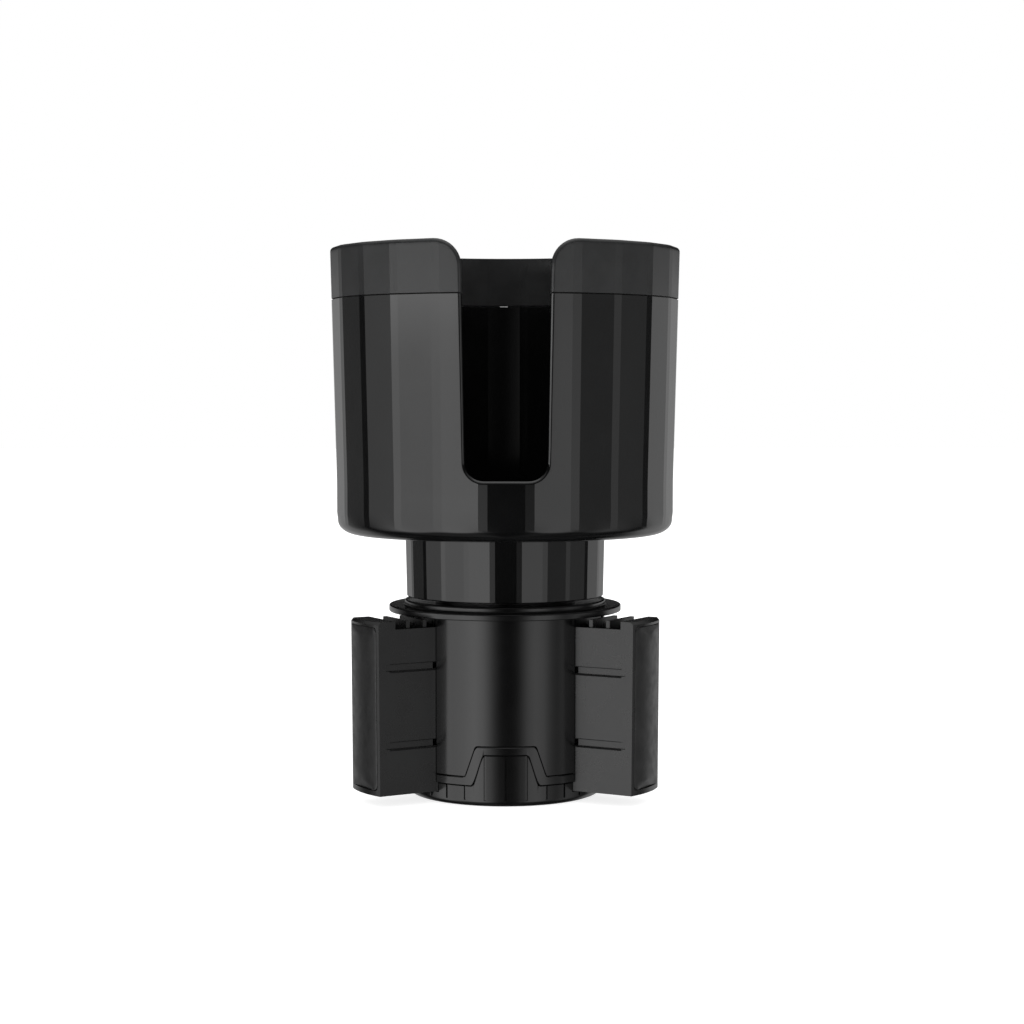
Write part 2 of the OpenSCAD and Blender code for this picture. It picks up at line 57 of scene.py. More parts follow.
# Cup's turned lower corner and the wall just above it, fitted to the photo
CUP_LEAST_R, CORNER_R, CORNER_Z, CORNER_W, CORNER_H = 50.46, 50.35, 78.1, 5.5, 4.5
UNDERSIDE_R, UNDERSIDE_STEP = 35.0, 1.0
# Rim ring: the rebate over the seam, outside and inside, deeper than the solid's, and the catch's
# window behind, lower than the solid's
REBATE, REBATE_IN, REBATE_Z, CATCH_W, CATCH_H = 0.75, 0.4, 148.05, 2.7, 0.1
# Slot: half widths, foot and corners where its rounded lips end, inside the solid's sharp edges, and
# the lip at the bore
SLOT_LOW_W, SLOT_HIGH_W, SLOT_Z, SLOT_CORNER, SLOT_FLARE = 11.6, 12.45, 95.5, 5.2, 7.8
INNER_LIP = 0.4
# Flats round cup and neck, and half the angle that one takes up
FLATS, FLAT_HALF = 24, 6.0
NECK_Z, NECK_LOW_R, NECK_TOP_R, NECK_BORE_R, NECK_FLOOR = 59.3, 29.6, 30.0, 26.6, 2.2
FLANGE_Z, FLANGE_R, FLANGE_T, COLLAR_R, COLLAR_TOP_Z = 54.75, 34.9, 2.0, 30.2, 58.3
BEARING_R, RECESS_R, RECESS_Z, LIP_R, BASE_TOP_Z = 21.0, 27.75, 56.8, 29.1, 54.5
MAT_R, MAT_T, MAT_GROOVE_W, MAT_GROOVE, MAT_GROOVES = 47.6, 1.6, 1.5, 0.6, 4
# Foot's band, lower and upper edge: half widths where its step between two wings starts and ends,
# and the heights at its middle and beside it
BAND_LOW, BAND_TOP = (6.1, 10.3, 15.3, 6.25), (8.15, 12.65, 17.9, 8.95)
# Wings, drawn fully out: half width, curved front with its draft, and the two grooves in each side
WING_Z, WING_TOP_Z, WING_W, ARC_R, FRONT_DRAFT = 3.5, 54.1, 8.8, 31.0, 0.4
BASE_R, TRAVEL, WING_PROUD = 30.0, 16.5, 0.9
ARC_X = BASE_R + TRAVEL + WING_PROUD - math.sqrt(ARC_R**2 - WING_W**2)
GROOVE_H, GROOVE_END_R, LOW_GROOVE_Z = 1.95, 44.6, 17.0
PAD_FRAME, PAD_INSET, PAD_CORNER, PAD_PROUD, PAD_BACK = 1.06, 1.56, 1.6, 0.15, 1.17
PAD_LIP, PAD_BACK_LIP = 0.32, 0.1
# Directions of the wings round the axis, and the drop of each one's upper groove below its top
WINGS = {"left": (210, 14.4), "right": (330, 15.9), "rear": (90, 17.4)}


class Wire:
    """One value in a node tree. Sums, products and comparisons add the nodes for them."""

    def __init__(self, graph, socket):
        self.graph, self.socket = graph, socket

    def math(self, operation, *others, swap=False, clamp=False):
        values = [self, *others]
        if swap:
            values.reverse()
        inputs = dict(enumerate(values))
        return self.graph.node("ShaderNodeMath", 0, inputs, operation=operation, use_clamp=clamp)

    def __add__(self, other):
        return self.math("ADD", other)

    def __sub__(self, other):
        return self.math("SUBTRACT", other)

    def __rsub__(self, other):
        return self.math("SUBTRACT", other, swap=True)

    def __mul__(self, other):
        return self.math("MULTIPLY", other)

    def __truediv__(self, other):
        return self.math("DIVIDE", other)

    def __rtruediv__(self, other):
        return self.math("DIVIDE", other, swap=True)

    def __gt__(self, other):
        return self.math("GREATER_THAN", other)

    def __lt__(self, other):
        return self.math("LESS_THAN", other)

    __radd__, __rmul__ = __add__, __mul__

    def ramp(self, low, high, out_low=0.0, out_high=1.0):
        """Eases from out_low to out_high as the value goes from low to high."""
        return self.graph.node(
            "ShaderNodeMapRange",
            0,
            {"Value": self, "From Min": low, "From Max": high, "To Min": out_low, "To Max": out_high},
            interpolation_type="SMOOTHSTEP",
        )


class Graph:
    """A node tree under construction."""

    def __init__(self, tree):
        self.tree = tree

    def add(self, kind, **settings):
        node = self.tree.nodes.new(kind)
        for key, value in settings.items():
            setattr(node, key, value)
        return node

    def wire(self, node, output=0):
        return Wire(self, node.outputs[output])

    def feed(self, socket, value):
        if isinstance(value, Wire):
            self.tree.links.new(value.socket, socket)
        else:
            socket.default_value = value

    def node(self, kind, output, inputs=None, **settings):
        """Adds any node with its settings, feeds its inputs by name or index and returns one output."""
        made = self.add(kind, **settings)
        for key, value in (inputs or {}).items():
            self.feed(made.inputs[key], value)
        return self.wire(made, output)


class Finish(Graph):
    """A material under construction: a Principled shader and the nodes that feed it."""

    def __init__(self, name):
        self.material = bpy.data.materials.new(name)
        self.material.use_nodes = True
        super().__init__(self.material.node_tree)
        self.shader = self.tree.nodes["Principled BSDF"]
        self.place = self.node("ShaderNodeTexCoord", "Object")

    def noise(self, size_mm, detail=3.0, stretch=(1, 1, 1), rough=0.55):
        """Noise whose blotches are about size_mm across."""
        place = self.node(
            "ShaderNodeVectorMath",
            0,
            {0: self.place, 1: tuple(1 / s for s in stretch)},
            operation="MULTIPLY",
        )
        return self.node(
            "ShaderNodeTexNoise",
            "Fac",
            {"Vector": place, "Scale": 1000 / size_mm, "Detail": detail, "Roughness": rough},
        )

    def cells(self, size_mm):
        """Soft-edged cells about size_mm across."""
        return self.node(
            "ShaderNodeTexVoronoi",
            "Distance",
            {"Vector": self.place, "Scale": 1000 / size_mm, "Randomness": 1.0},
            feature="SMOOTH_F1",
        )

    def mix(self, share, first, second):
        """Colour between first and second by share."""
        return self.node("ShaderNodeMix", 2, {0: share, 6: first, 7: second}, data_type="RGBA")

    def bump(self, height, depth_mm, strength=1.0, under=None):
        """Surface raised by height times depth_mm, over the surface under it."""
        inputs = {"Height": height, "Distance": depth_mm * MM, "Strength": strength}
        if under is not None:
            inputs["Normal"] = under
        return self.node("ShaderNodeBump", 0, inputs)

    def across(self):
        """Place in millimetres, as x, y and z."""
        parts = self.add("ShaderNodeSeparateXYZ")
        self.feed(parts.inputs[0], self.place)
        return [self.wire(parts, i) * 1000 for i in range(3)]

    def scribed(self, above, width):
        """Height of a line scribed below a level: its face leans back up to it, then steps out."""
        return (above / width + 1).math("MAXIMUM", 0.0) * (above < 0) * -1

    def set(self, **values):
        """Feeds the shader's inputs; a name's underscores stand for spaces."""
        for key, value in values.items():
            self.feed(self.shader.inputs[key.replace("_", " ")], value)
        return self.material


LINE_DEPTH = 0.17


def wing_grooves(upper_z):
    """Lower and upper edges of a wing's two side grooves, which end short of its front."""

    def height(f):
        x, y, z = f.across()
        reach = (x * x + y * y) < GROOVE_END_R**2
        low, high = (
            f.scribed(z - edge, 0.5) + f.scribed(z - edge - GROOVE_H - 0.2, 0.2) * 0.4
            for edge in (LOW_GROOVE_Z, upper_z)
        )
        return (low + high) * reach

    return height


def seam_line(f):
    """Shade of the fine rebate over the seam, all round the ring."""
    return f.scribed(f.across()[2] - REBATE_Z, REBATE_Z - SEAM_Z + 0.1)


def foot_lines(f):
    """Edges of the band that steps up between the wings, its corners rounded."""
    x, y, z = f.across()
    azimuth = x.math("ARCTAN2", y * -1)
    third = 2 * math.pi / 3
    nearest = (azimuth / third + 0.5).math("FLOOR") * third
    side = ((azimuth - nearest).math("SINE") * BASE_R).math("ABSOLUTE")
    band_low, band_top = side.ramp(*BAND_LOW), side.ramp(*BAND_TOP)
    return f.scribed(z - band_low - 0.1, 0.55) + f.scribed(z - band_top + 0.25, 0.3)


def moulded_plastic(name, colour, rough, grain_mm, grain_depth_mm, ripple=0.0, lines=None):
    """Black moulded plastic: an even sheen broken by faint flow marks, fine grain and hairline rubs.
    Lines gives the height of fine dark lines in it, such as a seam."""
    f = Finish(name)
    blotch = f.noise(9.0, detail=4)
    fine = f.noise(grain_mm, detail=2, rough=0.6)
    rubs = f.noise(1.1, detail=2, stretch=(1, 1, 14)).ramp(0.62, 0.78)
    handled = f.noise(26.0, detail=3).ramp(0.42, 0.66)
    tone = f.mix(blotch.ramp(0.3, 0.7), (*(c * 0.86 for c in colour), 1), (*(c * 1.16 for c in colour), 1))
    roughness = blotch.ramp(0.25, 0.75, rough * 0.9, rough * 1.1) + handled * (0.05 * rough) + rubs * 0.03
    surface = f.bump(fine, grain_depth_mm, 0.6)
    if ripple:
        surface = f.bump(f.noise(14.0, detail=1), ripple, 1.0, under=surface)
    if lines:
        surface = f.bump(lines(f), LINE_DEPTH, 1.0, under=surface)
    return f.set(Base_Color=tone, Roughness=roughness, Normal=surface, IOR=1.5)


def soft_rubber(name, colour, rough, grain_mm=0.35):
    """Matt rubber with a pebbled skin and a little grey bloom in soft random patches."""
    f = Finish(name)
    skin = f.cells(grain_mm)
    dust = f.noise(5.0, detail=5).ramp(0.45, 0.75)
    tone = f.mix(dust * 0.55, (*colour, 1), (*(c * 1.9 + 0.003 for c in colour), 1))
    roughness = f.noise(3.0, detail=3).ramp(0.3, 0.7, rough - 0.06, rough + 0.06)
    surface = f.bump(skin, 0.03, 0.7)
    surface = f.bump(f.noise(2.4, detail=2), 0.05, 0.35, under=surface)
    return f.set(Base_Color=tone, Roughness=roughness, Normal=surface, IOR=1.48)


def drawn_steel(name):
    """Zinc plated screw steel with turned rings and small dull patches."""
    f = Finish(name)
    rings = f.noise(0.28, detail=3, stretch=(1, 1, 0.3))
    dull = f.noise(1.6, detail=3).ramp(0.4, 0.7)
    tone = f.mix(dull, (0.62, 0.61, 0.58, 1), (0.40, 0.40, 0.39, 1))
    roughness = rings.ramp(0.3, 0.7, 0.2, 0.34) + dull * 0.12
    return f.set(Base_Color=tone, Metallic=1.0, Roughness=roughness, Normal=f.bump(rings, 0.01, 0.4))


# Finishes: colour, roughness, and size and depth of the grain in millimetres
RIPPLE = 0.012
RING_SATIN = (0.0260, 0.0265, 0.0270), 0.31, 0.4, 0.006
BASE_GLOSS = (0.0036, 0.0036, 0.0037), 0.17, 0.32, 0.004
WING_SATIN = (0.0078, 0.0078, 0.0080), 0.27, 0.32, 0.008
cup_plastic = moulded_plastic("cup_plastic", (0.0034, 0.0035, 0.0036), 0.12, 0.5, 0.003, ripple=RIPPLE)
ring_plastic = moulded_plastic("ring_plastic", *RING_SATIN, ripple=RIPPLE, lines=seam_line)
collar_plastic = moulded_plastic("collar_plastic", (0.0038, 0.0038, 0.0039), 0.2, 0.4, 0.006)
base_plastic = moulded_plastic("base_plastic", *BASE_GLOSS)
foot_plastic = moulded_plastic("foot_plastic", *BASE_GLOSS, lines=foot_lines)
wing_plastic = {
    side: moulded_plastic(f"{side}_wing_plastic", *WING_SATIN, lines=wing_grooves(WING_TOP_Z - drop))
    for side, (_, drop) in WINGS.items()
}
scroll_plastic = moulded_plastic("scroll_plastic", (0.020, 0.020, 0.021), 0.32, 0.5, 0.006)
pad_rubber = soft_rubber("pad_rubber", (0.0110, 0.0110, 0.0112), 0.37)
mat_rubber = soft_rubber("mat_rubber", (0.0110, 0.0110, 0.0110), 0.62, grain_mm=0.5)
screw_steel = drawn_steel("screw_steel")

# Walls drawn flat and wrapped


def offset_line(points, distances, closed):
    """Moves a polyline to its left by a distance for each of its points."""
    points = np.array(points, float)
    before, after = np.roll(points, 1, 0), np.roll(points, -1, 0)
    if not closed:
        before[0], after[-1] = points[0], points[-1]
    sides = []
    for a, b in ((before, points), (points, after)):
        run = b - a
        length = np.maximum(np.hypot(run[:, 0], run[:, 1]), 1e-9)
        sides.append(np.stack([-run[:, 1], run[:, 0]], 1) / length[:, None])
    if not closed:
        sides[0][0], sides[1][-1] = sides[1][0], sides[0][-1]
    mean = sides[0] + sides[1]
    mean /= np.maximum((mean * mean).sum(1) / 2, 0.4)[:, None]
    moved = points + mean * np.array(distances, float)[:, None]
    if not closed:
        for end, side in ((0, sides[1][0]), (-1, sides[0][-1])):
            level = abs(side[0]) > abs(side[1])
            push = (np.sign(side[0]), 0) if level else (0, np.sign(side[1]))
            moved[end] = points[end] + np.array(push) * distances[end]
    return moved


def lip_shares(steps):
    """Distances from a border of the lines in its lip, as shares of the lip's radius."""
    return [1 - math.sin(math.pi / 2 * (1 - i / steps)) for i in range(steps + 1)]


class Drawing:
    """A wall drawn flat, s across and v up in millimetres. Its borders have rounded lips, and the
    material lies to the left of each border."""

    def __init__(self, keeps):
        self.keeps, self.points, self.edges, self.borders = keeps, [], [], []

    def line(self, points, closed=False):
        first = len(self.points)
        self.points += [tuple(p) for p in points]
        last = len(self.points) - 1
        self.edges += [(i, i + 1) for i in range(first, last)] + ([(last, first)] if closed else [])

    def border(self, points, lips, steps=6, closed=False):
        """A border whose lip radius is given for each point; steps is the number of facets in the lip."""
        self.borders.append((np.array(points, float), np.array(lips, float), closed))
        for share in lip_shares(steps):
            self.line(offset_line(points, np.array(lips) * share, closed), closed)

    def lip(self, spots):
        """Distance from each spot to the nearest border, and the lip radius there."""
        best, radius = np.full(len(spots), 1e9), np.ones(len(spots))
        for points, lips, closed in self.borders:
            ends, end_lips = np.roll(points, -1, 0), np.roll(lips, -1)
            if not closed:
                ends, end_lips = ends[:-1], end_lips[:-1]
            for a, b, lip_a, lip_b in zip(points, ends, lips, end_lips):
                run = b - a
                along = np.clip(((spots - a) @ run) / max(run @ run, 1e-12), 0, 1)
                gap = np.hypot(*(spots - a - along[:, None] * run).T)
                nearer = gap < best
                best[nearer], radius[nearer] = gap[nearer], (lip_a + (lip_b - lip_a) * along)[nearer]
        return best, radius

    def grid(self, across, up, clear=0.3):
        """Adds grid points that lie well inside the material."""
        spots = np.array([(s, v) for v in up for s in across], float)
        gap, radius = self.lip(spots) if self.borders else (np.full(len(spots), 9.0), np.ones(len(spots)))
        for spot, g, r in zip(spots, gap, radius):
            if g > r + clear and self.keeps(*spot):
                self.points.append(tuple(spot))

    def mesh(self):
        """Triangles of the drawing, and how far its lips sink below the face at each vertex."""
        made = delaunay_2d_cdt([Vector(p) for p in self.points], self.edges, [], 0, 1e-5)
        spots = np.array([tuple(v) for v in made[0]])
        faces = [f for f in made[2] if self.keeps(*(spots[list(f)].mean(0)))]
        used = sorted({i for f in faces for i in f})
        place = {old: new for new, old in enumerate(used)}
        spots, faces = spots[used], [tuple(place[i] for i in f) for f in faces]
        gap, radius = self.lip(spots)
        left = np.clip(radius - gap, 0, None)
        return spots, faces, radius - np.sqrt(np.maximum(radius**2 - left**2, 0))


def put(name, data):
    """Adds an object to the scene."""
    thing = bpy.data.objects.new(name, data)
    bpy.context.scene.collection.objects.link(thing)
    return thing


def open_edges(faces):
    """Edges that only one face uses, in that face's direction."""
    edges = {}
    for face in faces:
        for a, b in zip(face, face[1:] + face[:1]):
            edges[(a, b)] = True
    return [(a, b) for a, b in edges if (b, a) not in edges]


def closed_shell(outer, inner, outer_place, inner_place, skip):
    """Joins an outer and an inner drawing with side faces along the borders that they share.
    Returns points in millimetres and faces."""
    (spots, faces, depth), (spots_in, faces_in, depth_in) = outer, inner
    base = len(spots)
    points = [outer_place(s, v, d) for (s, v), d in zip(spots, depth)]
    points += [inner_place(s, v, d) for (s, v), d in zip(spots_in, depth_in)]
    known = KDTree(len(spots_in))
    for i, (s, v) in enumerate(spots_in):
        known.insert((s, v, 0), i)
    known.balance()
    shell = list(faces) + [tuple(base + i for i in reversed(f)) for f in faces_in]
    for a, b in open_edges(faces):
        if skip(spots[a], spots[b]):
            continue
        found = [known.find((*spots[i], 0)) for i in (a, b)]
        if max(f[2] for f in found) > 0.02 or found[0][1] == found[1][1]:
            raise RuntimeError(f"side face has no partner at {spots[a]} {spots[b]} {found}")
        shell.append((b, a, base + found[0][1], base + found[1][1]))
    return points, shell


def solid_piece(name, points, faces, finish, crease=lambda a, b: False, sharp=40.0):
    """Builds a closed mesh from points in millimetres. An edge is sharp where its faces turn by more
    than the angle, or where crease says so for its two ends."""
    mesh = bpy.data.meshes.new(name)
    mesh.from_pydata([tuple(c * MM for c in p) for p in points], [], faces)
    work = bmesh.new()
    work.from_mesh(mesh)
    bmesh.ops.remove_doubles(work, verts=work.verts, dist=2e-6)
    bmesh.ops.dissolve_degenerate(work, dist=1e-7, edges=work.edges)
    if work.calc_volume(signed=True) < 0:
        bmesh.ops.reverse_faces(work, faces=work.faces)
    for face in work.faces:
        face.smooth = True
    for edge in work.edges:
        turn = edge.calc_face_angle(0.0) if edge.is_manifold else math.pi
        bent = turn > math.radians(sharp)
        edge.smooth = not (bent or (turn > math.radians(2) and crease(*(v.co / MM for v in edge.verts))))
    loose = sum(1 for e in work.edges if not e.is_manifold)
    if loose:
        print(f"{name}: {loose} open edges")
    work.to_mesh(mesh)
    work.free()
    mesh.materials.append(finish)
    piece = put(name, mesh)
    piece.modifiers.new("normals", "WEIGHTED_NORMAL").keep_sharp = True
    return piece


# Cup and rim ring. In a drawing, s is the azimuth times DRAWN_R, with 0 in front

DRAWN_R = 51.0
HALF_ROUND = math.pi * DRAWN_R
STEP = 360 / FLATS
LIP_STEPS, INNER_STEPS = 6, 2
CORNER_BLEND, SEAM_GAP, LEDGE = 0.7, 0.05, 0.02
COLUMNS = [math.radians(a) * DRAWN_R for a in range(-180, 181, 3)]
FACET_LINES = [math.radians(i * STEP + s * FLAT_HALF) * DRAWN_R for i in range(-12, 13) for s in (-1, 1)]
FACET_LINES = [s for s in FACET_LINES if abs(s) < HALF_ROUND]


def faceted_r(azimuth, corner_r):
    """Radius of the flats and of the narrow strips between them; corner_r is at the lines between."""
    off = abs((azimuth + STEP / 2) % STEP - STEP / 2)
    half, middle = (FLAT_HALF, off) if off <= FLAT_HALF else (STEP / 2 - FLAT_HALF, STEP / 2 - off)
    return corner_r * math.cos(math.radians(half)) / math.cos(math.radians(middle))


def cup_face_r(azimuth, z):
    """Radius of the cup's face. The flats fade out into the turned corner at its foot."""
    tapered = CUP_LOW_R + (CUP_TOP_R - CUP_LOW_R) * (z - CUP_Z) / (TOP_Z - CUP_Z)
    flat = faceted_r(azimuth, max(tapered, CUP_LEAST_R))
    h, blend = max(z - CORNER_Z, 0), CORNER_BLEND
    if h < CORNER_H:
        corner = CORNER_R - CORNER_W * (1 - math.sqrt(1 - (1 - h / CORNER_H) ** 2))
    else:
        corner = CORNER_R + (h - CORNER_H) * 0.5
    close = max(blend - abs(flat - corner), 0) / blend
    return min(flat, corner) - close * close * blend / 4


def near_slot(azimuth):
    """1 in front, where the wall is cut straight back by the slot, easing to 0 at the sides."""
    t = min(max((36 - abs(azimuth)) / 13, 0), 1)
    return t * t * (3 - 2 * t)


def outer_place(s, v, depth, sunk=0.0):
    """Point of the outer face; a lip sinks straight back at the slot and inward elsewhere."""
    azimuth = math.degrees(s / DRAWN_R)
    a, w = math.radians(azimuth), near_slot(azimuth)
    r = cup_face_r(azimuth, v) - sunk
    back = Vector((-math.sin(a) * (1 - w), math.cos(a) * (1 - w) + w)).normalized() * depth
    return (r * math.sin(a) + back.x, -r * math.cos(a) + back.y, v)


def inner_place(s, v, depth):
    """Point of the bore, straight behind the outer point at the slot."""
    azimuth = math.degrees(s / DRAWN_R)
    across = cup_face_r(azimuth, v) * math.sin(s / DRAWN_R) / BOTTLE_R
    straight = math.degrees(math.asin(max(-1, min(1, across))))
    w = near_slot(azimuth)
    a = math.radians(azimuth + (straight - azimuth) * w if w else azimuth)
    r = BOTTLE_R + depth
    return (r * math.sin(a), -r * math.cos(a), v)


def drawn(x, z):
    """Place in the drawing of a point of the slot's outline."""
    a = math.asin(x / DRAWN_R)
    for _ in range(6):
        a = math.asin(x / cup_face_r(math.degrees(a), z))
    return (a * DRAWN_R, z)


def slot_side():
    """Right half of the slot's outline as x and z, from its middle at the bottom to the rim."""
    r, wide = SLOT_CORNER, SLOT_FLARE
    turn = [i * math.pi / 2 / 10 for i in range(11)]
    bottom = [(0, SLOT_Z), (3.2, SLOT_Z)]
    low = [(SLOT_LOW_W - r + r * math.sin(t), SLOT_Z + r - r * math.cos(t)) for t in turn]
    rise = TOP_Z - wide - (SLOT_Z + r)
    levels = [SLOT_Z + r + rise * i / 12 for i in range(1, 12)]
    straight = [(SLOT_LOW_W + (SLOT_HIGH_W - SLOT_LOW_W) * (z - SLOT_Z - r) / rise, z) for z in levels]
    flare = [(SLOT_HIGH_W + wide * (1 - math.cos(t)), TOP_Z - wide * (1 - math.sin(t))) for t in turn]
    return bottom + low + straight + flare


def slot_x_at(z):
    """Half width of the slot at a height."""
    side = slot_side()[2:]
    return float(np.interp(z, [p[1] for p in side], [p[0] for p in side]))


def slot_lip(z):
    """Radius of the rounded lip round the slot, outside."""
    return 1.0 + 0.3 * (z - SLOT_Z) / (TOP_Z - SLOT_Z)


def in_outline(outline, s, v):
    """Whether a place lies inside a closed outline."""
    a, b = outline, np.roll(outline, -1, 0)
    crosses = (a[:, 1] > v) != (b[:, 1] > v)
    with np.errstate(divide="ignore", invalid="ignore"):
        at = a[:, 0] + (v - a[:, 1]) * (b[:, 0] - a[:, 0]) / (b[:, 1] - a[:, 1])
    return bool(np.count_nonzero(crosses & (s < at)) % 2)


def both_lips(s, z):
    """Points at an open end of the slot, where the outer and the inner lip's lines both end."""
    ends = [slot_lip(z) * share for share in lip_shares(LIP_STEPS)]
    ends += [INNER_LIP * share for share in lip_shares(INNER_STEPS)]
    return [(sign * (s + d), z) for d in ends for sign in (-1, 1)]


def facet_line_x(s):
    """How far out across the front a facet line stands, or well past the slot if it is behind."""
    return DRAWN_R * math.sin(abs(s) / DRAWN_R) if abs(s) < HALF_ROUND / 2 else 99


def both_level_lines(wall, edge, z):
    """Level lines from the slot's edges round to the back."""
    for sign in (-1, 1):
        wall.line([(sign * s, z) for s in [edge] + [c for c in COLUMNS if c > edge + 0.3]])


def cup_wall(rows, top_z, lip_of, steps):
    """Drawing of the cup's wall below the rim ring, with the slot."""
    side = [p for p in slot_side() if p[1] < top_z - 0.5] + [(slot_x_at(top_z), top_z)]
    right = [drawn(x, z) for x, z in side]
    outline = [(-s, v) for s, v in reversed(right)] + right[1:]
    hole = np.array(outline)
    wall = Drawing(lambda s, v: not in_outline(hole, s, v))
    wall.border(outline[::-1], [lip_of(v) for _, v in outline[::-1]], steps)
    wall.points += both_lips(right[-1][0], top_z)
    wall.grid(COLUMNS, rows)
    for s in FACET_LINES:
        x = facet_line_x(s)
        stop = top_z
        if x < SLOT_LOW_W - 1.5:
            stop = SLOT_Z + (0.6 if x < SLOT_LOW_W - SLOT_CORNER else 2.0)
        wall.line([(s, v) for v in rows if v < stop - 0.2] + [(s, stop)])
    both_level_lines(wall, right[-1][0], top_z)
    return wall.mesh()


def ring_wall(rows, lip_of, steps):
    """Drawing of the rim ring, with the slot's flared corners and the notch of the catch."""
    side = [(slot_x_at(SEAM_Z), SEAM_Z), (slot_x_at(REBATE_Z), REBATE_Z)]
    side += [p for p in slot_side() if p[1] > REBATE_Z + 0.5]
    right = [drawn(x, z) for x, z in side]
    left = [(-s, v) for s, v in reversed(right)]
    hole = np.array(left + right)
    notch, notch_top = HALF_ROUND - CATCH_W / 2, SEAM_Z + CATCH_H

    def keeps(s, v):
        return not in_outline(hole, s, v) and not (abs(s) > notch and v < notch_top)

    wall = Drawing(keeps)
    rim = [(s, TOP_Z) for s in COLUMNS if s > right[-1][0] + 0.4]
    over = (right + rim)[::-1]
    wall.border(over, [lip_of(v) for _, v in over], steps)
    under = [(-s, v) for s, v in reversed(over)]
    wall.border(under, [lip_of(v) for _, v in under], steps)
    wall.points += both_lips(right[0][0], SEAM_Z)
    wall.grid(COLUMNS, rows)
    for s in FACET_LINES:
        if facet_line_x(s) > slot_x_at(SEAM_Z) + 1:
            wall.line([(s, v) for v in rows] + [(s, TOP_Z)])
    for z in (SEAM_Z, REBATE_Z - LEDGE, REBATE_Z):
        both_level_lines(wall, drawn(slot_x_at(z), z)[0], z)
    for sign in (-1, 1):
        wall.line([(sign * notch, SEAM_Z), (sign * notch, notch_top), (sign * HALF_ROUND, notch_top)])
    return wall.mesh()


def at_back(a, b):
    """Whether an edge of a drawing lies on the line where its two ends meet behind."""
    return abs(a[0]) > HALF_ROUND - 0.001 and abs(b[0]) > HALF_ROUND - 0.001


def on_facet_line(low_z, high_z):
    """Tells whether an edge runs up one of the lines between flats and strips."""

    def test(a, b):
        if min(a.z, b.z) < low_z or max(a.z, b.z) > high_z:
            return False
        turns = []
        for p in (a, b):
            azimuth = math.degrees(math.atan2(p.x, -p.y))
            off = abs((azimuth + STEP / 2) % STEP - STEP / 2)
            turns.append(abs(off - FLAT_HALF) < 0.12)
        return all(turns) and math.hypot(a.x - b.x, a.y - b.y) < 0.3 * abs(a.z - b.z) + 0.02

    return test


def make_cup():
    """The cup: wall from two drawings, closed by its underside, its floor and the mat's seat."""
    top = SEAM_Z - SEAM_GAP
    corner = [CORNER_Z + CORNER_H * (1 - math.cos(math.radians(a))) for a in range(0, 91, 9)]
    upper = [float(v) for v in np.linspace(SLOT_Z + 3, top, 10)]
    rows = corner + [84.6, 87.0, 90.5, 93.0] + upper
    rows_in = [BORE_Z, 86.0, 90.5, 93.0] + upper
    outer = cup_wall(rows, top, slot_lip, LIP_STEPS)
    inner = cup_wall(rows_in, top, lambda z: INNER_LIP, INNER_STEPS)

    def skip(a, b):
        return at_back(a, b) or max(a[1], b[1]) < CORNER_Z + 0.01

    points, faces = closed_shell(outer, inner, outer_place, inner_place, skip)
    azimuth = [math.atan2(p[0], -p[1]) for p in points]
    drawings = np.concatenate([outer[0], inner[0]])

    def lowest_ring(z, numbers):
        level = [i for i in numbers if abs(points[i][2] - z) < 1e-3]
        return sorted(level, key=lambda i: drawings[i][0])[:-1]

    under = lowest_ring(CORNER_Z, range(len(outer[0])))
    bore = lowest_ring(BORE_Z, range(len(outer[0]), len(points)))

    def ring_at(r, z, beside):
        points.extend((r * math.sin(azimuth[i]), -r * math.cos(azimuth[i]), z) for i in beside)
        return list(range(len(points) - len(beside), len(points)))

    def join(low, high):
        for i in range(len(low)):
            j = (i + 1) % len(low)
            faces.append((low[i], low[j], high[j], high[i]))

    seat, floor = ring_at(FLOOR_R, BORE_Z, bore), ring_at(FLOOR_R, FLOOR_Z, bore)
    join(bore, seat)
    join(seat, floor)
    faces.append(tuple(floor))
    step = ring_at(UNDERSIDE_R + UNDERSIDE_STEP, CORNER_Z, under)
    underside = ring_at(UNDERSIDE_R, CUP_Z, under)
    join(step, under)
    join(underside, step)
    faces.append(tuple(reversed(underside)))
    return solid_piece("cup_shell", points, faces, cup_plastic, on_facet_line(CORNER_Z + 2.6, 200))


def make_ring():
    """The rim ring, with rounded rim and slot edges and a fine rebate over the seam."""
    rows = [SEAM_Z, REBATE_Z - LEDGE, REBATE_Z, 150.5, 153.5, 156.5, 159.5, 161.2]
    outer = ring_wall(rows, lambda z: slot_lip(z) - 0.1 * max(z - 157, 0) / 6, LIP_STEPS)
    inner = ring_wall(rows, lambda z: INNER_LIP, INNER_STEPS)

    def place(s, v, depth):
        sunk = REBATE if v < REBATE_Z - LEDGE / 2 else 0.0
        return outer_place(s, v, max(depth - sunk, 0), sunk)

    def place_in(s, v, depth):
        sunk = REBATE_IN if v < REBATE_Z - LEDGE / 2 else 0.0
        return inner_place(s, v, max(depth, sunk))

    points, faces = closed_shell(outer, inner, place, place_in, at_back)
    return solid_piece("rim_shell", points, faces, ring_plastic, on_facet_line(REBATE_Z, 200))


# Wing pads


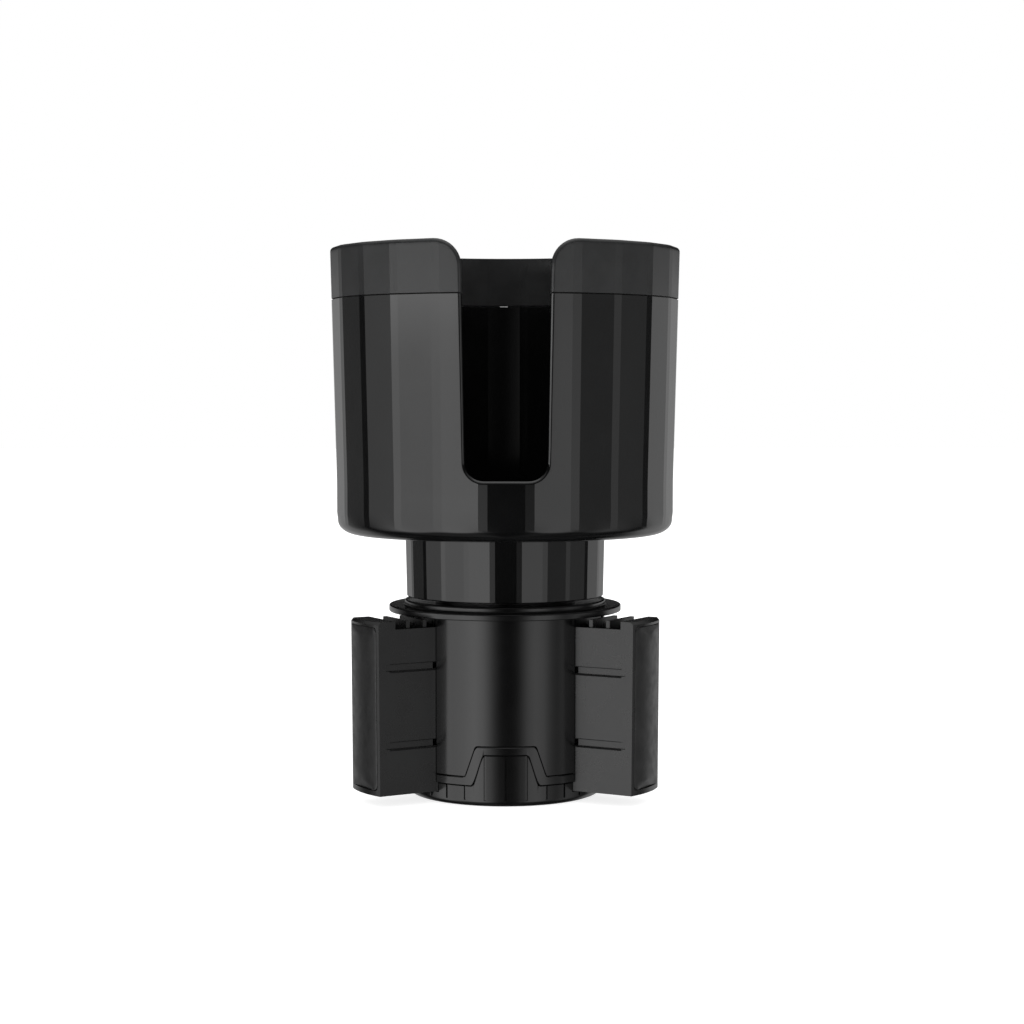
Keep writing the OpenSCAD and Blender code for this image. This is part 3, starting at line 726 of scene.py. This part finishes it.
def make_pad(name, azimuth):
    """Curved rubber pad with a rounded outline and rounded edges, in its seat in a wing's front."""
    w, low, high = WING_W - PAD_FRAME, WING_Z + PAD_INSET, WING_TOP_Z - PAD_INSET
    in_w, in_low, in_high = w - PAD_CORNER, low + PAD_CORNER, high - PAD_CORNER
    outline = []
    for x, z, start in ((in_w, in_low, -90), (in_w, in_high, 0), (-in_w, in_high, 90), (-in_w, in_low, 180)):
        turns = [math.radians(start) + i * math.pi / 2 / 8 for i in range(9)]
        outline += [(x + PAD_CORNER * math.cos(t), z + PAD_CORNER * math.sin(t)) for t in turns]
    shape = np.array(outline)
    across, up = np.linspace(-w, w, 15), np.linspace(low, high, 19)

    def sheet(lip, steps):
        face = Drawing(lambda s, v: in_outline(shape, s, v))
        face.border(outline, [lip] * len(outline), steps, closed=True)
        face.grid(across, up)
        return face.mesh()

    turn = math.radians(azimuth)

    def on_arc(s, v, r):
        reach = ARC_X + math.sqrt(r * r - s * s)
        return (reach * math.cos(turn) - s * math.sin(turn), reach * math.sin(turn) + s * math.cos(turn), v)

    def front(s, v, depth):
        draft = FRONT_DRAFT * (WING_TOP_Z - v) / (WING_TOP_Z - WING_Z)
        return on_arc(s, v, ARC_R + PAD_PROUD - draft - depth)

    def back(s, v, depth):
        return on_arc(s, v, ARC_R - PAD_BACK + depth)

    sheets = sheet(PAD_LIP, 4), sheet(PAD_BACK_LIP, 1)
    points, faces = closed_shell(*sheets, front, back, lambda a, b: False)
    return solid_piece(name, points, faces, pad_rubber)


# Pieces grown by Geometry Nodes


class Recipe(Graph):
    """A Geometry Nodes tree with named inputs, which ends in real faces of one finish."""

    def __init__(self, name, **inputs):
        super().__init__(bpy.data.node_groups.new(name, "GeometryNodeTree"))
        for way in ("INPUT", "OUTPUT"):
            self.tree.interface.new_socket("Geometry", in_out=way, socket_type="NodeSocketGeometry")
        for label, kind in {**inputs, "Finish": "Material"}.items():
            self.tree.interface.new_socket(
                label.replace("_", " "), in_out="INPUT", socket_type=f"NodeSocket{kind}"
            )
        self.start, self.end = self.add("NodeGroupInput"), self.add("NodeGroupOutput")

    def given(self, label):
        """One of the tree's inputs."""
        return self.wire(self.start, label)

    def close(self, geometry):
        """Ends the tree: instances become faces, which get the finish."""
        real = self.node("GeometryNodeRealizeInstances", 0, {0: geometry})
        dressed = self.node("GeometryNodeSetMaterial", 0, {0: real, "Material": self.given("Finish")})
        self.feed(self.end.inputs[0], dressed)
        return self

    def grow(self, name, seed, sharp=40.0, crease=lambda a, b: False, **values):
        """Runs the tree on a seed mesh and keeps the result as a plain mesh."""
        host = put(name + "_seed", seed)
        growth = host.modifiers.new("growth", "NODES")
        growth.node_group = self.tree
        for item in self.tree.interface.items_tree:
            if item.in_out == "INPUT" and item.name.replace(" ", "_") in values:
                growth[item.identifier] = values[item.name.replace(" ", "_")]
        graph = bpy.context.evaluated_depsgraph_get()
        mesh = bpy.data.meshes.new_from_object(host.evaluated_get(graph), depsgraph=graph)
        host.modifiers.remove(growth)
        bpy.data.objects.remove(host)
        points = [v.co / MM for v in mesh.vertices]
        faces = [tuple(p.vertices) for p in mesh.polygons]
        return solid_piece(name, points, faces, values["Finish"], crease, sharp)


def turned_form():
    """Turns the seed's line of points, r along X and height along Z, round the axis. With flats, two
    columns stand on each of them and a narrow strip lies between; without, the form is round."""
    g = Recipe("turned form", Profile_Points="Int", Columns="Int", Flats="Int", Flat_Half="Float")
    flats, columns = g.given("Flats"), g.given("Columns")
    stands = columns + 1
    rows = g.given("Profile Points")
    grid = g.node("GeometryNodeMeshGrid", 0, {"Vertices X": rows, "Vertices Y": stands})
    index = g.node("GeometryNodeInputIndex", 0)
    row = (index / stands + 1e-4).math("FLOOR")
    column = index - row * stands
    pair = (column / 2 + 1e-4).math("FLOOR")
    half = g.given("Flat Half")
    on_flats = pair * (360 / flats.math("MAXIMUM", 1.0)) + (column - pair * 2) * (half * 2) - half
    evenly = column * 360 / columns
    degrees = evenly + (flats > 0.5) * (on_flats - evenly)
    angle = degrees * (math.pi / 180)
    spot = g.node(
        "GeometryNodeSampleIndex", 0,
        {"Geometry": g.given("Geometry"), "Value": g.node("GeometryNodeInputPosition", 0), "Index": row},
        data_type="FLOAT_VECTOR", domain="POINT",
    )
    parts = g.add("ShaderNodeSeparateXYZ")
    g.feed(parts.inputs[0], spot)
    r, z = g.wire(parts, 0), g.wire(parts, 2)
    x, y = r * angle.math("COSINE"), r * angle.math("SINE")
    place = g.node("ShaderNodeCombineXYZ", 0, {0: x, 1: y, 2: z})
    turned = g.node("GeometryNodeSetPosition", 0, {"Geometry": grid, "Position": place})
    return g.close(g.node("GeometryNodeMergeByDistance", 0, {"Geometry": turned, "Distance": 5e-6}))


def ring_of_copies():
    """Sets copies of the seed on a circle, each turned to face outward, and tipped over if asked."""
    g = Recipe("ring of copies", Count="Int", Radius="Float", Start="Float", Height="Float", Tip="Float")
    spots = g.node("GeometryNodePoints", 0, {"Count": g.given("Count")})
    degrees = g.node("GeometryNodeInputIndex", 0) * 360 / g.given("Count") + g.given("Start")
    angle, radius = degrees * (math.pi / 180), g.given("Radius")
    x, y = radius * angle.math("COSINE"), radius * angle.math("SINE")
    place = g.node("ShaderNodeCombineXYZ", 0, {0: x, 1: y, 2: g.given("Height")})
    placed = g.node("GeometryNodeSetPosition", 0, {"Geometry": spots, "Position": place})
    turn = g.node("ShaderNodeCombineXYZ", 0, {0: g.given("Tip") * (math.pi / 180), 2: angle})
    copies = {"Points": placed, "Instance": g.given("Geometry"), "Rotation": turn}
    return g.close(g.node("GeometryNodeInstanceOnPoints", 0, copies))


ROUND_COLUMNS, SHANK_R, FINE_BEVEL = 180, 1.2, 0.22


def outline_seed(name, points):
    """Line of points that a turned form grows from."""
    seed = bpy.data.meshes.new(name)
    edges = [(i, i + 1) for i in range(len(points) - 1)]
    seed.from_pydata([(r * MM, 0, z * MM) for r, z in points], edges, [])
    return seed


def rounded(points, sizes, steps=4):
    """Rounds the corners of an open line of points; sizes gives each corner's reach in millimetres."""
    out = []
    for i, (p, size) in enumerate(zip(points, sizes)):
        p = Vector(p)
        if not size:
            out.append(tuple(p))
            continue
        before, after = Vector(points[i - 1]), Vector(points[(i + 1) % len(points)])
        a, b = p + (before - p).normalized() * size, p + (after - p).normalized() * size
        for k in range(steps + 1):
            t = k / steps
            out.append(tuple((1 - t) ** 2 * a + 2 * t * (1 - t) * p + t * t * b))
    return out


def turned_piece(name, finish, points, sizes, columns=0, flats=0, crease=lambda a, b: False):
    """Turns an outline of r and z round the axis; sizes rounds its corners."""
    line = rounded(points, sizes)
    return turned_recipe.grow(
        name, outline_seed(name, line), crease=crease, Profile_Points=len(line),
        Columns=columns or 2 * flats, Flats=flats, Flat_Half=FLAT_HALF, Finish=finish,
    )


def screw_seed(name, head_r, head_h, shank_r, length):
    """A pan head screw with a cross recess, its seat at height 0."""
    sides, depth, arm, half = 32, 0.9, 0.55 * head_r, 0.3
    top_r = head_r * 0.74
    line = [(0, -length), (shank_r * 0.4, -length), (shank_r, -length + 1.6), (shank_r, 0)]
    line += [(head_r, 0), (head_r, head_h * 0.35), (head_r * 0.93, head_h * 0.72), (top_r, head_h)]
    cross = []
    for q in range(4):
        for x, y in ((half, -half), (arm, -half), (arm, half)):
            t = q * math.pi / 2
            cross.append((x * math.cos(t) - y * math.sin(t), x * math.sin(t) + y * math.cos(t)))
    points, faces, rings = [], [], []
    angles = [2 * math.pi * k / sides for k in range(sides)]
    for r, z in line:
        first = len(points)
        points += [(r * math.cos(a), r * math.sin(a), z) for a in angles]
        rings.append(range(first, first + sides))
    for low, high in zip(rings, rings[1:]):
        faces += [(low[k], low[(k + 1) % sides], high[(k + 1) % sides], high[k]) for k in range(sides)]
    faces.append(tuple(reversed(rings[0])))
    rim = [points[i][:2] for i in rings[-1]]
    edges = [(i, (i + 1) % sides) for i in range(sides)]
    edges += [(sides + i, sides + (i + 1) % 12) for i in range(12)]
    flat = delaunay_2d_cdt([Vector(p) for p in rim + cross], edges, [], 0, 1e-6)
    first = len(points)
    points += [(v.x, v.y, head_h) for v in flat[0]]
    shape = np.array(cross)
    for f in flat[2]:
        middle = sum((flat[0][i] for i in f), Vector((0, 0))) / 3
        if in_outline(shape, *middle):
            deep = len(points)
            points += [(*(flat[0][i] * 0.9), head_h - depth) for i in f]
            faces.append((deep, deep + 1, deep + 2))
        else:
            faces.append(tuple(first + i for i in f))
    top, low = len(points), len(points) + 12
    points += [(x, y, head_h) for x, y in cross] + [(x * 0.9, y * 0.9, head_h - depth) for x, y in cross]
    faces += [(top + (i + 1) % 12, top + i, low + i, low + (i + 1) % 12) for i in range(12)]
    mesh = bpy.data.meshes.new(name)
    mesh.from_pydata([tuple(c * MM for c in p) for p in points], [], faces)
    work = bmesh.new()
    work.from_mesh(mesh)
    bmesh.ops.remove_doubles(work, verts=work.verts, dist=1e-6)
    bmesh.ops.recalc_face_normals(work, faces=work.faces)
    work.to_mesh(mesh)
    work.free()
    return mesh


turned_recipe, copies_recipe = turned_form(), ring_of_copies()


def make_screws(name, count, radius, start, height, head_r, head_h, length, tip=0.0):
    """A ring of screws, their heads' seats at a height; a tip of 180 degrees points them upward."""
    seed = screw_seed(name, head_r, head_h, SHANK_R, length)
    return copies_recipe.grow(
        name, seed, sharp=30.0, Count=count, Radius=radius * MM, Start=start, Height=height * MM, Tip=tip,
        Finish=screw_steel,
    )


def fit_in(piece, node, body):
    """Puts a finished piece in the place of a CAD node, on that node's body."""
    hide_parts(node)
    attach(piece, body)


def make_neck():
    """The neck: flats and strips, hollow above its floor."""
    floor = NECK_Z + NECK_FLOOR
    outline = [(0, NECK_Z), (NECK_LOW_R, NECK_Z), (NECK_TOP_R, CUP_Z)]
    outline += [(NECK_BORE_R, CUP_Z), (NECK_BORE_R, floor), (0, floor)]
    crease = on_facet_line(NECK_Z + 0.1, CUP_Z - 0.1)
    return turned_piece("neck_tube", cup_plastic, outline, [0, 0.4, 0.3, 0, 0, 0], flats=FLATS, crease=crease)


def make_collar():
    """The collar: a thin round flange with a raised ring on it, over a recess for the scroll plate."""
    flange_top = FLANGE_Z + FLANGE_T
    outline = [
        (BEARING_R, RECESS_Z), (RECESS_R, RECESS_Z), (RECESS_R, BASE_TOP_Z), (LIP_R, BASE_TOP_Z),
        (LIP_R, FLANGE_Z), (FLANGE_R, FLANGE_Z), (FLANGE_R, flange_top), (COLLAR_R, flange_top),
        (COLLAR_R, COLLAR_TOP_Z), (BEARING_R, COLLAR_TOP_Z), (BEARING_R, RECESS_Z),
    ]
    sizes = [0, 0, 0, 0, 0.15, 0.4, 0.5, 0.25, 0.55, 0.3, 0]
    return turned_piece("collar_ring", collar_plastic, outline, sizes, columns=ROUND_COLUMNS)


def make_mat():
    """The mat: round, with evenly spaced grooves in its top."""
    top = FLOOR_Z + MAT_T
    outline, sizes = [(0, FLOOR_Z), (MAT_R, FLOOR_Z), (MAT_R, top)], [0, 0.2, 0.5]
    for i in range(MAT_GROOVES, 0, -1):
        near = FLOOR_R * (i + 0.25) / (MAT_GROOVES + 1.25)
        far, deep = near + MAT_GROOVE_W, top - MAT_GROOVE
        outline += [(far, top), (far, deep), (near, deep), (near, top)]
        sizes += [0.25, 0.2, 0.2, 0.25]
    return turned_piece("mat_ribs", mat_rubber, outline + [(0, top)], sizes + [0], columns=ROUND_COLUMNS)


def keep(node, finish):
    """Gives a CAD node its finish and fine bevels; its own shape stays."""
    node.data.materials.clear()
    node.data.materials.append(finish)
    node.modifiers.new("joined", "WELD").merge_threshold = 1e-6
    flat = node.modifiers.new("flat faces", "DECIMATE")
    flat.decimate_type, flat.angle_limit = "DISSOLVE", math.radians(1)
    edge = node.modifiers.new("edges", "BEVEL")
    edge.width, edge.segments, edge.limit_method = FINE_BEVEL * MM, 2, "ANGLE"
    edge.angle_limit, edge.harden_normals = math.radians(32), True
    node.modifiers.new("normals", "WEIGHTED_NORMAL").keep_sharp = True


fit_in(make_cup(), "cup_body", "upper")
fit_in(make_ring(), "rim_ring", "upper")
for side, (azimuth, _) in WINGS.items():
    fit_in(make_pad(f"{side}_pad_rubber", azimuth), f"{side}_wing_pad", f"wing_{side}")
fit_in(make_neck(), "neck", "upper")
fit_in(make_collar(), "top_collar", "base")
fit_in(make_mat(), "cup_mat", "upper")

cup_screws = make_screws(
    "cup_screw_ring", count=4, radius=21.0, start=45, height=78.9, head_r=2.9, head_h=1.6, length=11
)
spindle_screws = make_screws(
    "spindle_screw_ring", count=3, radius=16.905, start=30, height=61.5, head_r=2.8, head_h=1.8, length=6.1
)
foot_screws = make_screws(
    "foot_screw_ring", count=3, radius=19.0, start=30, height=1.9, head_r=2.4, head_h=1.7, length=10, tip=180
)
fit_in(cup_screws, "cup_screws", "upper")
fit_in(spindle_screws, "spindle_screws", "upper")
fit_in(foot_screws, "foot_screws", "base")

keep(nodes["base_housing"], base_plastic)
keep(nodes["foot_cap"], foot_plastic)
keep(nodes["scroll_plate"], scroll_plastic)
keep(nodes["drag_ring"], mat_rubber)
for side in WINGS:
    keep(nodes[f"{side}_wing"], wing_plastic[side])

# Camera, fitted to the rim, the seam and the wings' corners: millimetres and degrees
CAMERA_PLACE, CAMERA_TILT, CAMERA_TURN = (2.11, -663.1, 120.41), -3.12, -0.6
CAMERA_LENS, CAMERA_FILM = 77.52, 36


def add_camera():
    turn = math.radians(CAMERA_TURN)
    x, y, z = CAMERA_PLACE
    camera = put("camera", bpy.data.cameras.new("camera"))
    across, ahead = x * math.cos(turn) - y * math.sin(turn), x * math.sin(turn) + y * math.cos(turn)
    camera.location = Vector((across, ahead, z)) * MM
    camera.rotation_euler = (math.radians(90 + CAMERA_TILT), 0, turn)
    camera.data.lens, camera.data.sensor_width = CAMERA_LENS, CAMERA_FILM
    bpy.context.scene.camera = camera


# Studio. Black gloss shows what it mirrors, so glossy rays see pale panels that stand round the
# holder: azimuth in degrees, 0 in front and growing to the right, and brightness. All other light
# is even and plain, and the camera sees white
PANELS = [
    (-154, 0.48), (-139.5, 0.58), (-124, 0.18), (-114, 0.03), (-104, 0.03), (-93.5, 0.66), (-78, 1.86),
    (-62.5, 1.65), (-47, 1.9), (-38, 2.2), (-31, 2.15), (-26, 1.9), (-19, 1.15), (-13, 0.45), (-6.4, 0.08),
    (0, 0.02), (6.4, 0.02), (14, 0.1), (19, 0.4), (26, 1.0), (32, 1.3), (39, 1.25), (47, 1.0), (53, 0.5),
    (62.5, 0.27), (78, 0.70), (93.5, 0.32), (104, 0.05), (113, 0.05), (124, 0.8), (139.5, 0.7), (154, 0.45),
]
BRIGHTEST = max(level for _, level in PANELS)
PLAIN_LEVEL, OVERHEAD_LEVEL, LEFT_TALL_LEVEL = 0.75, 0.6, 2.0
SOFTBOX_SIZE, SOFTBOX_HEIGHT, SOFTBOX_WATTS = 1.4, 1.6, 4.2


def add_softbox():
    """A soft box overhead."""
    box = bpy.data.lights.new("top softbox", "AREA")
    box.shape, box.size, box.energy = "DISK", SOFTBOX_SIZE, SOFTBOX_WATTS
    lamp = put("top softbox", box)
    lamp.location = (0, 0, SOFTBOX_HEIGHT)
    lamp.visible_camera = False


def panel_light(g, azimuth):
    """Brightness of the ring of panels at an azimuth."""
    ring = g.add("ShaderNodeValToRGB")
    g.feed(ring.inputs[0], azimuth / (2 * math.pi) + 0.5)
    stops = ring.color_ramp.elements
    while len(stops) < len(PANELS):
        stops.new(0.5)
    for stop, (degrees, level) in zip(stops, PANELS):
        stop.position, stop.color = degrees / 360 + 0.5, (*(level / BRIGHTEST,) * 3, 1)
    return g.wire(ring) * BRIGHTEST


def add_world():
    """The panels end just above the horizon, and fade into an unlit floor far below it. A taller one
    stands to the left, for the rim ring, and the ceiling is pale."""
    world = bpy.data.worlds.new("studio")
    bpy.context.scene.world = world
    world.use_nodes = True
    g = Graph(world.node_tree)
    toward = g.add("ShaderNodeSeparateXYZ")
    g.feed(toward.inputs[0], g.node("ShaderNodeTexCoord", "Generated"))
    x, y, height = (g.wire(toward, i) for i in range(3))
    azimuth = x.math("ARCTAN2", y * -1)

    def at(degrees):
        return math.sin(math.radians(degrees))

    panels = panel_light(g, azimuth)
    low_band = height.ramp(at(2.0), at(4.0), 1.0, 0.0)
    overhead = height.ramp(0.34, 0.82, 0.0, OVERHEAD_LEVEL)
    floor_fade = height.ramp(at(-48), at(-30), 0.1, 1.0)
    left_start = azimuth.ramp(math.radians(-95), math.radians(-70))
    left_end = azimuth.ramp(math.radians(-32), math.radians(-18), 1.0, 0.0)
    left_tall = left_start * left_end * height.ramp(at(-0.8), at(0.6)) * LEFT_TALL_LEVEL
    gloss = (panels + left_tall) * low_band * floor_fade + overhead
    rays = g.add("ShaderNodeLightPath")
    glossy = g.wire(rays, "Is Glossy Ray")
    white = g.wire(rays, "Is Camera Ray").math("MAXIMUM", g.wire(rays, "Is Transmission Ray"))
    level = g.node("ShaderNodeMix", 0, {0: glossy, 2: PLAIN_LEVEL, 3: gloss}, data_type="FLOAT")
    level = g.node("ShaderNodeMix", 0, {0: white, 2: level, 3: 1.0}, data_type="FLOAT")
    background = world.node_tree.nodes["Background"]
    g.feed(background.inputs["Strength"], level)
    background.inputs["Color"].default_value = (1, 1, 1, 1)


FLOOR_REACH, FLOOR_GLOW = 4, 0.8


def add_floor():
    """Pale floor, white to the camera away from the holder's soft shadow."""
    reach = FLOOR_REACH
    mesh = bpy.data.meshes.new("floor")
    corners = [(-reach, -reach, 0), (reach, -reach, 0), (reach, reach, 0), (-reach, reach, 0)]
    mesh.from_pydata(corners, [], [(0, 1, 2, 3)])
    pale = bpy.data.materials.new("pale floor")
    pale.use_nodes = True
    g = Graph(pale.node_tree)
    shader = g.tree.nodes["Principled BSDF"]
    shader.inputs["Base Color"].default_value = (0.8, 0.8, 0.8, 1)
    shader.inputs["Roughness"].default_value = 0.9
    shader.inputs["Emission Color"].default_value = (1, 1, 1, 1)
    seen = g.wire(g.add("ShaderNodeLightPath"), "Is Camera Ray")
    g.feed(shader.inputs["Emission Strength"], seen * FLOOR_GLOW)
    mesh.materials.append(pale)
    floor = put("floor", mesh)
    floor.visible_glossy = floor.visible_shadow = False
    return floor


add_camera()
add_softbox()
add_world()
floor = add_floor()

bpy.context.scene.view_settings.view_transform = "Standard"
